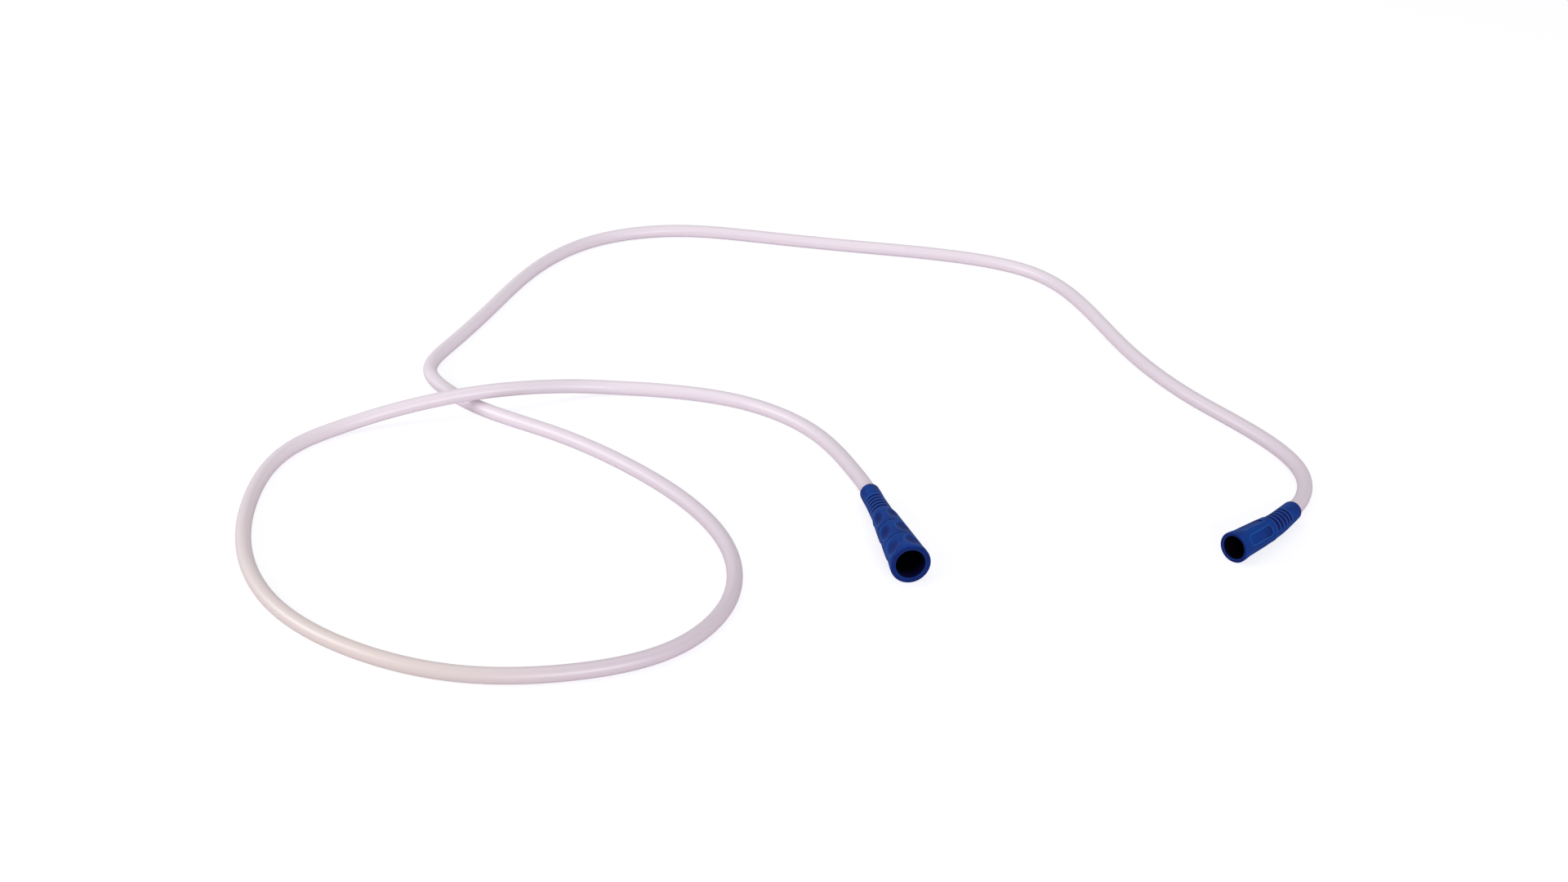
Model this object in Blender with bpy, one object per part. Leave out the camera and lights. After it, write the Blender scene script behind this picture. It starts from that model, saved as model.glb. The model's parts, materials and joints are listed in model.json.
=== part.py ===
"""Suction tube for a ward: a soft clear hose lying in one loose loop, with a moulded connector on each end.

The large connector is a funnel with five columns of finger dimples. The small one is a plain cuff with a
grooved neck, which the curved hose bends a little. Everything lies on the floor, z = 0. The origin is on the
floor, in the middle between the two connectors, and the funnel's mouth faces -Y. Metres, +Z up.
"""

import math

import bmesh
import bpy
import numpy as np
from mathutils import Matrix, Vector

# Hose
HOSE_DIAMETER = 0.0083
HOSE_BORE = 0.0056
HOSE_SAMPLES = 76
HOSE_BEVEL_RESOLUTION = 3

# The strand from the funnel passes over the other one here
CROSSING = (-0.3028, 0.2023)
CROSSING_GAP = 0.0008
HUMP_REACH = 0.095

# The hose's way over the floor in plan, from the funnel's collar to the cuff's collar
ROUTE = (
    (-0.1067, 0.0811),
    (-0.1192, 0.1321),
    (-0.1502, 0.1741),
    (-0.1932, 0.1991),
    (-0.2362, 0.2105),
    (-0.2812, 0.2050),
    (-0.3252, 0.2005),
    (-0.3682, 0.1970),
    (-0.4085, 0.1760),
    (-0.4325, 0.1230),
    (-0.4365, 0.0670),
    (-0.4205, 0.0070),
    (-0.3855, -0.0385),
    (-0.3375, -0.0700),
    (-0.2832, -0.0805),
    (-0.2340, -0.0712),
    (-0.2005, -0.0370),
    (-0.1902, 0.0125),
    (-0.2032, 0.0671),
    (-0.2302, 0.1171),
    (-0.2642, 0.1611),
    (-0.2982, 0.1961),
    (-0.3192, 0.2281),
    (-0.3267, 0.2571),
    (-0.3122, 0.2881),
    (-0.2802, 0.3401),
    (-0.2452, 0.3951),
    (-0.2012, 0.4311),
    (-0.1482, 0.4366),
    (-0.0922, 0.4141),
    (-0.0302, 0.3831),
    (0.0318, 0.3521),
    (0.0738, 0.3151),
    (0.0893, 0.2611),
    (0.0938, 0.1991),
    (0.1098, 0.1226),
    (0.1328, 0.0571),
    (0.1343, 0.0241),
)

# Gap between the hose and the sockets that it is bonded into
FIT_GAP = 0.0003

# Both connectors
TURN_SEGMENTS = 48
ARC_STEPS = 3
LIP_CHAMFER = 0.0004
SCOOP_HEIGHT_SHARE = 1.45

# Funnel connector
FUNNEL_MOUTH_PLACE = (-0.1045, -0.0312)
FUNNEL_HEADING = math.radians(-90.0)
FUNNEL_LENGTH = 0.0853
FUNNEL_COLLAR_RADIUS = 0.0055
FUNNEL_COLLAR_LENGTH = 0.0140
FUNNEL_SLEEVE_RADIUS = 0.0061
FUNNEL_SLEEVE_LENGTH = 0.0298
FUNNEL_SHOULDER_LENGTH = 0.0057
FUNNEL_GRIP_RADIUS = 0.0072
FUNNEL_NECK_RADIUS = 0.0099
FUNNEL_RIM_LENGTH = 0.0113
FUNNEL_MOUTH_RADIUS = 0.0107
FUNNEL_MOUTH_BORE = 0.0159
FUNNEL_SOCKET_DEPTH = 0.020
FUNNEL_END_ROUND = 0.0009
FUNNEL_RIM_ROUND = 0.0006
FUNNEL_GROOVE_COUNT = 5
FUNNEL_GROOVE_FIRST = 0.0146
FUNNEL_GROOVE_PITCH = 0.0035
FUNNEL_GROOVE_WIDTH = 0.0014
FUNNEL_GROOVE_DEPTH = 0.0006
FUNNEL_GROOVE_FADE = 0.5
FUNNEL_GROOVE_ANGLE = math.radians(-22.0)
DIMPLE_COLUMNS = 5
DIMPLE_ROWS = 3
DIMPLE_FIRST = 0.0404
DIMPLE_PITCH = 0.0180
DIMPLE_LENGTH = 0.0122
DIMPLE_WIDTH_ANGLE = math.radians(48.0)
DIMPLE_DEPTH = 0.0011
DIMPLE_ANGLE = math.radians(21.0)
RING_LINE_DEPTH = 0.0003
RING_LINE_HALF_WIDTH = 0.0005

# Cuff connector
CUFF_MOUTH_PLACE = (0.0639, -0.0474)
CUFF_HEADING = math.radians(-148.0)
CUFF_LENGTH = 0.0592
CUFF_COLLAR_RADIUS = 0.0054
CUFF_NECK_LENGTH = 0.0282
CUFF_NECK_RADIUS = 0.0065
CUFF_BODY_RADIUS = 0.0069
CUFF_STEP_LENGTH = 0.0006
CUFF_WAIST_RADIUS = 0.0077
CUFF_RIM_LENGTH = 0.0090
CUFF_MOUTH_RADIUS = 0.0084
CUFF_MOUTH_BORE = 0.0130
CUFF_SOCKET_DEPTH = 0.016
CUFF_END_ROUND = 0.0006
CUFF_RIM_ROUND = 0.0007
CUFF_GROOVE_COUNT = 5
CUFF_GROOVE_FIRST = 0.0140
CUFF_GROOVE_PITCH = 0.0033
CUFF_GROOVE_WIDTH = 0.0016
CUFF_GROOVE_DEPTH = 0.0009
CUFF_GROOVE_FADE = 0.15
CUFF_GROOVE_ANGLE = math.radians(18.0)
CUFF_BEND = math.radians(9.0)
PANEL_MIDDLE = 0.0433
PANEL_LENGTH = 0.0189
PANEL_WIDTH = 0.0052
PANEL_DEPTH = 0.0009
PANEL_CORNER = 0.0010
PANEL_SPREAD = math.radians(37.0)

HOSE_COLOUR = (0.83, 0.76, 0.83)
CONNECTOR_COLOUR = (0.012, 0.060, 0.300)


def clear_scene():
    """Remove every object that the file opened with."""
    for item in list(bpy.data.objects):
        bpy.data.objects.remove(item, do_unlink=True)


def make_material(name, colour, roughness):
    """A plain plastic in one colour."""
    material = bpy.data.materials.new(name)
    material.use_nodes = True
    shader = material.node_tree.nodes["Principled BSDF"]
    shader.inputs["Base Color"].default_value = (*colour, 1.0)
    shader.inputs["Roughness"].default_value = roughness
    shader.inputs["Metallic"].default_value = 0.0
    return material


def add_mesh_object(name, shape):
    """Put a bmesh in the scene as an object at the origin."""
    mesh = bpy.data.meshes.new(name)
    shape.to_mesh(mesh)
    shape.free()
    item = bpy.data.objects.new(name, mesh)
    bpy.context.scene.collection.objects.link(item)
    return item


def corner_arc(middle, radius, start, end):
    """Points on a quarter round, from one angle to another in degrees."""
    steps = np.linspace(math.radians(start), math.radians(end), ARC_STEPS + 1)
    return [(middle[0] + radius * math.cos(a), middle[1] + radius * math.sin(a)) for a in steps]


def eased(start, end, steps=4):
    """Points of an S-shaped change of radius between two (radius, height) points, ends left out."""
    points = []
    for share in np.linspace(0.0, 1.0, steps + 1)[1:-1]:
        rise = share * share * (3.0 - 2.0 * share)
        points.append((start[0] + (end[0] - start[0]) * rise, start[1] + (end[1] - start[1]) * share))
    return points


def socket_radius():
    """Radius of the sockets that hold the hose."""
    return HOSE_DIAMETER / 2 + FIT_GAP


def collar_end(radius, end_round):
    """The round outer edge at a collar's end, which leaves a flat ring beside the socket."""
    end_round = min(end_round, 0.9 * (radius - socket_radius()))
    return corner_arc((radius - end_round, end_round), end_round, -90, 0)


def bore_outline(length, mouth_bore, socket_depth):
    """Mouth edge, tapered bore, throat as wide as the hose's bore, and the socket that the hose sits in."""
    mouth = mouth_bore / 2
    socket = socket_radius()
    return [
        (mouth + LIP_CHAMFER, length),
        (mouth, length - LIP_CHAMFER),
        (HOSE_BORE / 2, socket_depth),
        (socket, socket_depth),
        (socket, 0.0),
    ]


def funnel_outline():
    """Outer skin of the funnel as (radius, height) points, from the collar's end to the mouth."""
    shoulder_top = FUNNEL_SLEEVE_LENGTH + FUNNEL_SHOULDER_LENGTH
    rim_start = FUNNEL_LENGTH - FUNNEL_RIM_LENGTH
    collar = (FUNNEL_COLLAR_RADIUS, FUNNEL_COLLAR_LENGTH)
    sleeve = (FUNNEL_SLEEVE_RADIUS, FUNNEL_SLEEVE_LENGTH)
    grip = (FUNNEL_GRIP_RADIUS, shoulder_top)
    neck = (FUNNEL_NECK_RADIUS, rim_start)
    rim = (FUNNEL_MOUTH_RADIUS, FUNNEL_LENGTH - FUNNEL_RIM_ROUND)
    taper = (neck[0] - grip[0]) / (neck[1] - grip[1])
    points = collar_end(FUNNEL_COLLAR_RADIUS, FUNNEL_END_ROUND)
    points += [collar, sleeve, *eased(sleeve, grip), grip]
    for row in range(DIMPLE_ROWS - 1):
        height = DIMPLE_FIRST + (row + 0.5) * DIMPLE_PITCH
        radius = grip[0] + taper * (height - grip[1])
        edge = taper * RING_LINE_HALF_WIDTH
        points += [
            (radius - edge, height - RING_LINE_HALF_WIDTH),
            (radius - RING_LINE_DEPTH, height),
            (radius + edge, height + RING_LINE_HALF_WIDTH),
        ]
    points += [neck, *eased(neck, rim)]
    points += corner_arc((FUNNEL_MOUTH_RADIUS - FUNNEL_RIM_ROUND, rim[1]), FUNNEL_RIM_ROUND, 0, 90)
    return points


def cuff_outline():
    """Outer skin of the cuff as (radius, height) points, from the collar's end to the mouth."""
    neck = (CUFF_NECK_RADIUS, CUFF_NECK_LENGTH)
    body = (CUFF_BODY_RADIUS, CUFF_NECK_LENGTH + CUFF_STEP_LENGTH)
    waist = (CUFF_WAIST_RADIUS, CUFF_LENGTH - CUFF_RIM_LENGTH)
    rim = (CUFF_MOUTH_RADIUS, CUFF_LENGTH - CUFF_RIM_ROUND)
    points = collar_end(CUFF_COLLAR_RADIUS, CUFF_END_ROUND)
    points += [neck, body, waist, *eased(waist, rim)]
    points += corner_arc((CUFF_MOUTH_RADIUS - CUFF_RIM_ROUND, rim[1]), CUFF_RIM_ROUND, 0, 90)
    return points


def radius_at(outline, height):
    """Radius of an outline at a height."""
    heights = [point[1] for point in outline]
    return float(np.interp(height, heights, [point[0] for point in outline]))


def turned(name, outline):
    """Turn a closed (radius, height) outline about the Z axis."""
    shape = bmesh.new()
    corners = [shape.verts.new((radius, 0.0, height)) for radius, height in outline]
    edges = [shape.edges.new((a, b)) for a, b in zip(corners, corners[1:] + corners[:1])]
    bmesh.ops.spin(
        shape,
        geom=corners + edges,
        cent=(0, 0, 0),
        axis=(0, 0, 1),
        angle=math.tau,
        steps=TURN_SEGMENTS,
        use_merge=True,
    )
    bmesh.ops.recalc_face_normals(shape, faces=shape.faces)
    return add_mesh_object(name, shape)


def subtract(body, cutter):
    """Cut one object from another. The cutter stays as a hidden construction solid."""
    cutter.hide_render = True
    cutter.display_type = "WIRE"
    cut = body.modifiers.new(cutter.name, "BOOLEAN")
    cut.operation = "DIFFERENCE"
    cut.solver = "EXACT"
    cut.object = cutter


def groove_cutter(name, outline, first, pitch, count, width, depth, fade, angle):
    """Flat rings with an oval hole. They cut deepest on two opposite faces and die out between them.

    The fade is how far the oval's wide half axis is outside the skin, as a share of the depth.
    """
    shape = bmesh.new()
    sides = TURN_SEGMENTS + 1
    for row in range(count):
        height = first + row * pitch
        radius = radius_at(outline, height)
        loops = []
        for level in (height - width / 2, height + width / 2):
            for deep, wide in ((radius - depth, radius + depth * fade), (radius + 2 * depth, radius + 2 * depth)):
                loop = []
                for step in range(sides):
                    turn = math.tau * step / sides
                    point = Vector((deep * math.cos(turn), wide * math.sin(turn), level))
                    loop.append(shape.verts.new(Matrix.Rotation(-angle, 3, "Z") @ point))
                loops.append(loop)
        inner_low, outer_low, inner_high, outer_high = loops
        for near, far in (
            (inner_low, outer_low),
            (outer_low, outer_high),
            (outer_high, inner_high),
            (inner_high, inner_low),
        ):
            for step in range(sides):
                after = (step + 1) % sides
                shape.faces.new((near[step], near[after], far[after], far[step]))
    bmesh.ops.recalc_face_normals(shape, faces=shape.faces)
    return add_mesh_object(name, shape)


def dimple_cutter(name, outline, angle):
    """One column of oval scoops, each as wide as its share of the turn."""
    shape = bmesh.new()
    lift = DIMPLE_DEPTH * SCOOP_HEIGHT_SHARE
    deep = DIMPLE_DEPTH + lift
    for row in range(DIMPLE_ROWS):
        height = DIMPLE_FIRST + row * DIMPLE_PITCH
        radius = radius_at(outline, height)
        span = DIMPLE_LENGTH / 2
        rise = radius_at(outline, height + span) - radius_at(outline, height - span)
        half = radius * math.sin(DIMPLE_WIDTH_ANGLE / 2)
        fall = radius - math.sqrt(radius * radius - half * half)
        long = span / math.sqrt(1 - (lift / deep) ** 2)
        wide = half / math.sqrt(1 - ((lift + fall) / deep) ** 2)
        place = (
            Matrix.Rotation(-angle, 4, "Z")
            @ Matrix.Translation((radius + lift, 0, height))
            @ Matrix.Rotation(math.atan2(rise, DIMPLE_LENGTH), 4, "Y")
            @ Matrix.Diagonal((deep, wide, long, 1.0))
            @ Matrix.Rotation(math.pi / 2, 4, "Y")
        )
        bmesh.ops.create_uvsphere(shape, u_segments=20, v_segments=14, radius=1.0, matrix=place)
    return add_mesh_object(name, shape)


def panel_cutter(name, outline, angle):
    """A flat-floored pocket with round corners, which follows the body's taper."""
    low = PANEL_MIDDLE - PANEL_LENGTH / 2
    high = PANEL_MIDDLE + PANEL_LENGTH / 2
    rise = radius_at(outline, high) - radius_at(outline, low)
    shape = bmesh.new()
    loop = []
    for side, end, start in ((1, 1, 0), (-1, 1, 90), (-1, -1, 180), (1, -1, 270)):
        middle = (side * (PANEL_WIDTH / 2 - PANEL_CORNER), end * (PANEL_LENGTH / 2 - PANEL_CORNER))
        for across, along in corner_arc(middle, PANEL_CORNER, start, start + 90):
            loop.append(shape.verts.new((0.0, across, along)))
    floor = shape.faces.new(loop)
    walls = bmesh.ops.extrude_face_region(shape, geom=[floor])
    raised = [item for item in walls["geom"] if isinstance(item, bmesh.types.BMVert)]
    bmesh.ops.translate(shape, verts=raised, vec=(3 * PANEL_DEPTH, 0, 0))
    place = (
        Matrix.Rotation(-angle, 4, "Z")
        @ Matrix.Translation((radius_at(outline, PANEL_MIDDLE) - PANEL_DEPTH, 0, PANEL_MIDDLE))
        @ Matrix.Rotation(math.atan2(rise, PANEL_LENGTH), 4, "Y")
    )
    bmesh.ops.transform(shape, matrix=place, verts=shape.verts)
    bmesh.ops.recalc_face_normals(shape, faces=shape.faces)
    return add_mesh_object(name, shape)


def settle_cuts(body):
    """Work the cuts into the body's own mesh, so that it can be bent and laid down."""
    bpy.context.view_layer.update()
    seen = body.evaluated_get(bpy.context.evaluated_depsgraph_get())
    mesh = bpy.data.meshes.new_from_object(seen)
    body.modifiers.clear()
    body.data = mesh


def resting_tilt(outline):
    """Slope of the line that a turned body lies on, on its side: the one under its middle."""
    middle = outline[-1][1] / 2
    for low_radius, low in outline:
        for high_radius, high in outline:
            if low < middle <= high:
                slope = (high_radius - low_radius) / (high - low)
                if all(radius <= low_radius + slope * (s - low) + 1e-9 for radius, s in outline):
                    return math.atan(slope)
    raise ValueError("the outline has no line to lie on")


def lying_matrix(outline, mouth_place, heading):
    """Lay a turned body on the floor, its mouth's centre over a point in plan and facing along a heading."""
    tilt = resting_tilt(outline)
    lift = max(radius * math.cos(tilt) - s * math.sin(tilt) for radius, s in outline)
    length = outline[-1][1]
    ahead = Vector((math.cos(heading) * math.cos(tilt), math.sin(heading) * math.cos(tilt), math.sin(tilt)))
    up = Vector((-math.cos(heading) * math.sin(tilt), -math.sin(heading) * math.sin(tilt), math.cos(tilt)))
    side = ahead.cross(up)
    turn = Matrix((up, side, ahead)).transposed().to_4x4()
    collar = Vector((*mouth_place, 0.0)) - ahead * length
    collar.z = lift
    return Matrix.Translation(collar) @ turn


def bent(point):
    """Where a point of the straight cuff goes when the hose bends its neck."""
    if point.z >= CUFF_NECK_LENGTH:
        return point.copy()
    run = CUFF_NECK_LENGTH - CUFF_SOCKET_DEPTH
    reach = run / CUFF_BEND
    arc = min(CUFF_NECK_LENGTH - point.z, run)
    straight = CUFF_NECK_LENGTH - point.z - arc
    turn = arc / reach
    z = CUFF_NECK_LENGTH - (reach - point.y) * math.sin(turn) - straight * math.cos(turn)
    y = reach - (reach - point.y) * math.cos(turn) + straight * math.sin(turn)
    return Vector((point.x, y, z))


def finish_round(item, material):
    """Dress a round piece and shade it smooth, with its edges kept."""
    item.data.materials.clear()
    item.data.materials.append(material)
    item.data.shade_smooth()
    item.data.set_sharp_from_angle(angle=math.radians(35.0))


def make_funnel(material):
    """The large connector, and the matrix that lays it down."""
    outline = funnel_outline()
    body = turned("funnel_connector", outline + bore_outline(FUNNEL_LENGTH, FUNNEL_MOUTH_BORE, FUNNEL_SOCKET_DEPTH))
    subtract(
        body,
        groove_cutter(
            "funnel_groove_cutter",
            outline,
            FUNNEL_GROOVE_FIRST,
            FUNNEL_GROOVE_PITCH,
            FUNNEL_GROOVE_COUNT,
            FUNNEL_GROOVE_WIDTH,
            FUNNEL_GROOVE_DEPTH,
            FUNNEL_GROOVE_FADE,
            FUNNEL_GROOVE_ANGLE,
        ),
    )
    for column in range(DIMPLE_COLUMNS):
        angle = DIMPLE_ANGLE + math.tau * column / DIMPLE_COLUMNS
        subtract(body, dimple_cutter(f"dimple_cutter_{column + 1}", outline, angle))
    settle_cuts(body)
    laid = lying_matrix(outline, FUNNEL_MOUTH_PLACE, FUNNEL_HEADING)
    body.data.transform(laid)
    finish_round(body, material)
    return laid


def make_cuff(material):
    """The small connector, and the matrix that lays it down."""
    outline = cuff_outline()
    body = turned("cuff_connector", outline + bore_outline(CUFF_LENGTH, CUFF_MOUTH_BORE, CUFF_SOCKET_DEPTH))
    subtract(
        body,
        groove_cutter(
            "cuff_groove_cutter",
            outline,
            CUFF_GROOVE_FIRST,
            CUFF_GROOVE_PITCH,
            CUFF_GROOVE_COUNT,
            CUFF_GROOVE_WIDTH,
            CUFF_GROOVE_DEPTH,
            CUFF_GROOVE_FADE,
            CUFF_GROOVE_ANGLE,
        ),
    )
    for face in range(2):
        middle = CUFF_GROOVE_ANGLE + math.pi * face
        for place, angle in enumerate((middle - PANEL_SPREAD, middle + PANEL_SPREAD)):
            subtract(body, panel_cutter(f"panel_cutter_{2 * face + place + 1}", outline, angle))
    settle_cuts(body)
    laid = lying_matrix(outline, CUFF_MOUTH_PLACE, CUFF_HEADING)
    for corner in body.data.vertices:
        corner.co = laid @ bent(corner.co)
    finish_round(body, material)
    return laid


def spline_through(points, start_slope, end_slope):
    """A dense smooth curve through plan points, with no jump of curvature, leaving along the given slopes."""
    points = np.array(points)
    spans = np.linalg.norm(np.diff(points, axis=0), axis=1)
    count = len(points)
    system = np.zeros((count, count))
    right = np.zeros((count, 2))
    chords = np.diff(points, axis=0) / spans[:, None]
    system[0, :2] = 2 * spans[0], spans[0]
    right[0] = 6 * (chords[0] - start_slope)
    system[-1, -2:] = spans[-1], 2 * spans[-1]
    right[-1] = 6 * (end_slope - chords[-1])
    for i in range(1, count - 1):
        system[i, i - 1 : i + 2] = spans[i - 1], 2 * (spans[i - 1] + spans[i]), spans[i]
        right[i] = 6 * (chords[i] - chords[i - 1])
    bends = np.linalg.solve(system, right)
    curve = []
    for i, span in enumerate(spans):
        for share in np.arange(0.0, 1.0, 0.05):
            a, b = 1.0 - share, share
            swell = ((a**3 - a) * bends[i] + (b**3 - b) * bends[i + 1]) * span * span / 6
            curve.append(a * points[i] + b * points[i + 1] + swell)
    curve.append(points[-1])
    return np.array(curve)


def settled_height(distance, collar, tilt):
    """Height of the hose's centre at a distance from a collar: along the collar's tilt, then on the floor."""
    rest = HOSE_DIAMETER / 2
    drop = collar - rest
    reach = max(2 * abs(drop) / math.tan(tilt), HOSE_DIAMETER)
    left = np.clip(1.0 - distance / reach, 0.0, None)
    return drop * left * left


def hose_points(funnel, cuff):
    """The hose's centreline, from its seat in the funnel to its seat in the cuff."""
    funnel_out = funnel @ Vector((0, 0, 0))
    funnel_seat = funnel @ Vector((0, 0, FUNNEL_SOCKET_DEPTH - FIT_GAP))
    cuff_out = cuff @ bent(Vector((0, 0, 0)))
    cuff_seat = cuff @ bent(Vector((0, 0, CUFF_SOCKET_DEPTH - FIT_GAP)))
    leave = (funnel_out - funnel_seat).normalized()
    arrive = (cuff_seat - cuff_out).normalized()
    plan = spline_through([funnel_out[:2], *ROUTE, cuff_out[:2]], np.array(leave[:2]), np.array(arrive[:2]))
    gone = np.concatenate([[0.0], np.cumsum(np.linalg.norm(np.diff(plan, axis=0), axis=1))])
    at = np.linspace(0.0, gone[-1], HOSE_SAMPLES)
    x = np.interp(at, gone, plan[:, 0])
    y = np.interp(at, gone, plan[:, 1])
    z = np.full(HOSE_SAMPLES, HOSE_DIAMETER / 2)
    z += settled_height(at, funnel_out.z, math.asin(-leave.z))
    z += settled_height(gone[-1] - at, cuff_out.z, math.asin(arrive.z))
    away = np.hypot(x - CROSSING[0], y - CROSSING[1])
    over = (away < HUMP_REACH) & (at < gone[-1] / 3)
    rise = (HOSE_DIAMETER + CROSSING_GAP) * 0.5 * (1.0 + np.cos(math.pi * away / HUMP_REACH))
    z += np.where(over, rise, 0.0)
    return [funnel_seat, *(Vector(point) for point in zip(x, y, z)), cuff_seat]


def make_hose(material, points):
    """The hose as a round bar along its centreline."""
    curve = bpy.data.curves.new("pvc_hose", "CURVE")
    curve.dimensions = "3D"
    curve.bevel_depth = HOSE_DIAMETER / 2
    curve.bevel_resolution = HOSE_BEVEL_RESOLUTION
    curve.use_fill_caps = True
    strand = curve.splines.new("POLY")
    strand.points.add(len(points) - 1)
    for knot, point in zip(strand.points, points):
        knot.co = (*point, 1.0)
    curve.materials.append(material)
    item = bpy.data.objects.new("pvc_hose", curve)
    bpy.context.scene.collection.objects.link(item)


clear_scene()
connector_blue = make_material("connector_blue", CONNECTOR_COLOUR, 0.42)
hose_clear = make_material("hose_clear", HOSE_COLOUR, 0.28)
funnel_laid = make_funnel(connector_blue)
cuff_laid = make_cuff(connector_blue)
make_hose(hose_clear, hose_points(funnel_laid, cuff_laid))
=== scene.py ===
"""Looks of a suction tube: a frosted vinyl hose in a loose loop, with a soft blue connector on each end.

Metres, +Z up. The floor is z = 0 and the funnel's mouth faces -Y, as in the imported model.
"""

import json
import logging
import math
from dataclasses import dataclass
from enum import Enum
from typing import Iterable, NamedTuple, Optional, Sequence, Union

import bmesh
import bpy
import numpy as np
from mathutils import Matrix, Vector


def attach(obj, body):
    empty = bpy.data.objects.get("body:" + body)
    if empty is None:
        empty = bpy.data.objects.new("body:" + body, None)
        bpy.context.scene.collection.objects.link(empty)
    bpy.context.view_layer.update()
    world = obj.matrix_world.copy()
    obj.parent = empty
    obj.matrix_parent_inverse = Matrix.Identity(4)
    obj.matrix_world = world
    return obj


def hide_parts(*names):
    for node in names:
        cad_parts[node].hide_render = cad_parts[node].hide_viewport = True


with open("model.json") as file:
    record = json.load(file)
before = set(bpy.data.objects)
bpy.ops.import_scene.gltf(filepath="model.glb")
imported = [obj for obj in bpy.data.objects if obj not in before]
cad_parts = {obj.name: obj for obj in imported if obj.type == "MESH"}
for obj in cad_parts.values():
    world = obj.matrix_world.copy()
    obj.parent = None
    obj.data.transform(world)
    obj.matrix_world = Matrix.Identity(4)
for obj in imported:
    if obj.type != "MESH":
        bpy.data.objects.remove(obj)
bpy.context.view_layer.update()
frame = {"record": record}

logging.basicConfig(level=logging.INFO, format="%(message)s")
LOG = logging.getLogger("suction_tube")

MM = 0.001

Colour = tuple[float, float, float]
Outline = list[tuple[float, float]]


class Record(Enum):
    """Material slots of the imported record."""

    BLUE = "connector_blue"
    CLEAR = "hose_clear"


class Layer(Enum):
    """Attributes that the meshes carry for their finishes, including where shade and highlights are
    painted.
    """

    STRAIGHT = "straight"
    # Painted shade: grooves, dimples, ring lines, panels, band edges, the mouth's ring and the bore.
    HOLLOW = "hollow"
    # Painted highlights: ribs, dimple edges, lips, panel rims and band tops.
    RIDGE = "painted_highlight"
    # Painted shade far inside the bore, by depth below the mouth.
    INSIDE = "inside"


class Ray(Enum):
    """Kinds of light path that see the plain white surroundings."""

    CAMERA = "Is Camera Ray"
    GLOSSY = "Is Glossy Ray"
    TRANSMISSION = "Is Transmission Ray"


class Number:
    """A number in a shader. Arithmetic on it adds Math nodes."""

    def __init__(self, shader: "Shader", socket: bpy.types.NodeSocket) -> None:
        """Keep the socket and the tree that it is in."""
        self.shader = shader
        self.socket = socket

    def _math(self, operation: str, first: "Term", second: "Term") -> "Number":
        """Add one Math node.

        Args:
            operation: The node's operation.
            first: Its first value.
            second: Its second value.

        Returns:
            The node's result.
        """
        node = self.shader.node("ShaderNodeMath", {"operation": operation}, {0: first, 1: second})
        return Number(self.shader, node.outputs[0])

    def __add__(self, other: "Term") -> "Number":
        """Sum."""
        return self._math("ADD", self, other)

    def __radd__(self, other: "Term") -> "Number":
        """Sum, this number second."""
        return self._math("ADD", other, self)

    def __sub__(self, other: "Term") -> "Number":
        """Difference."""
        return self._math("SUBTRACT", self, other)

    def __mul__(self, other: "Term") -> "Number":
        """Product."""
        return self._math("MULTIPLY", self, other)

    def most(self, other: "Term") -> "Number":
        """The larger of the two."""
        return self._math("MAXIMUM", self, other)

    def eased(self, low: float, high: float) -> "Number":
        """Rise smoothly from 0 at one value to 1 at another.

        Args:
            low: Where the rise starts.
            high: Where the rise ends.

        Returns:
            A number from 0 to 1.
        """
        inputs = {"Value": self, "From Min": low, "From Max": high}
        node = self.shader.node("ShaderNodeMapRange", {"interpolation_type": "SMOOTHSTEP"}, inputs)
        return Number(self.shader, node.outputs[0])


Term = Union[Number, float]


class Shader:
    """The node tree of a material or of the world."""

    def __init__(self, tree: bpy.types.NodeTree) -> None:
        """Start from an empty tree."""
        self.tree = tree
        tree.nodes.clear()

    def node(
        self, kind: str, settings: Optional[dict] = None, inputs: Optional[dict] = None
    ) -> bpy.types.Node:
        """Add a node.

        Args:
            kind: The node's type.
            settings: Its own properties, set first.
            inputs: What its sockets hold or are linked to, by name or number.

        Returns:
            The node.
        """
        node = self.tree.nodes.new(kind)
        for name, value in (settings or {}).items():
            setattr(node, name, value)
        for name, value in (inputs or {}).items():
            socket = value.socket if isinstance(value, Number) else value
            if isinstance(socket, bpy.types.NodeSocket):
                self.tree.links.new(socket, node.inputs[name])
            else:
                node.inputs[name].default_value = value
        return node

    def mixed(self, share: Term, first: object, second: object) -> bpy.types.NodeSocket:
        """Mix two colours.

        Args:
            share: How much of the second colour there is.
            first: A colour or a colour's socket.
            second: A colour or a colour's socket.

        Returns:
            The mixed colour's socket.
        """
        picked = {"data_type": "RGBA"}
        ends = [(*end, 1.0) if isinstance(end, tuple) else end for end in (first, second)]
        return self.node("ShaderNodeMix", picked, {0: share, 6: ends[0], 7: ends[1]}).outputs[2]

    def attribute(self, layer: Layer) -> bpy.types.Node:
        """Read one of the mesh's own attributes."""
        return self.node("ShaderNodeAttribute", {"attribute_name": layer.value})

    def layer(self, layer: Layer) -> Number:
        """Read one of the mesh's own attributes as a number."""
        return Number(self, self.attribute(layer).outputs["Fac"])

    def noise(
        self, where: bpy.types.NodeSocket, stretch: Sequence[float], scale: float, detail: float
    ) -> Number:
        """Soft noise from 0 to 1.

        Args:
            where: The coordinates that it reads.
            stretch: How much finer it is along each axis.
            scale: How many grains it has to the metre.
            detail: How many finer layers it has.

        Returns:
            The noise.
        """
        placed = self.node("ShaderNodeMapping", {}, {"Vector": where, "Scale": tuple(stretch)})
        inputs = {"Vector": placed.outputs[0], "Scale": scale, "Detail": detail, "Roughness": 0.55}
        return Number(self, self.node("ShaderNodeTexNoise", {}, inputs).outputs[0])


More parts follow.
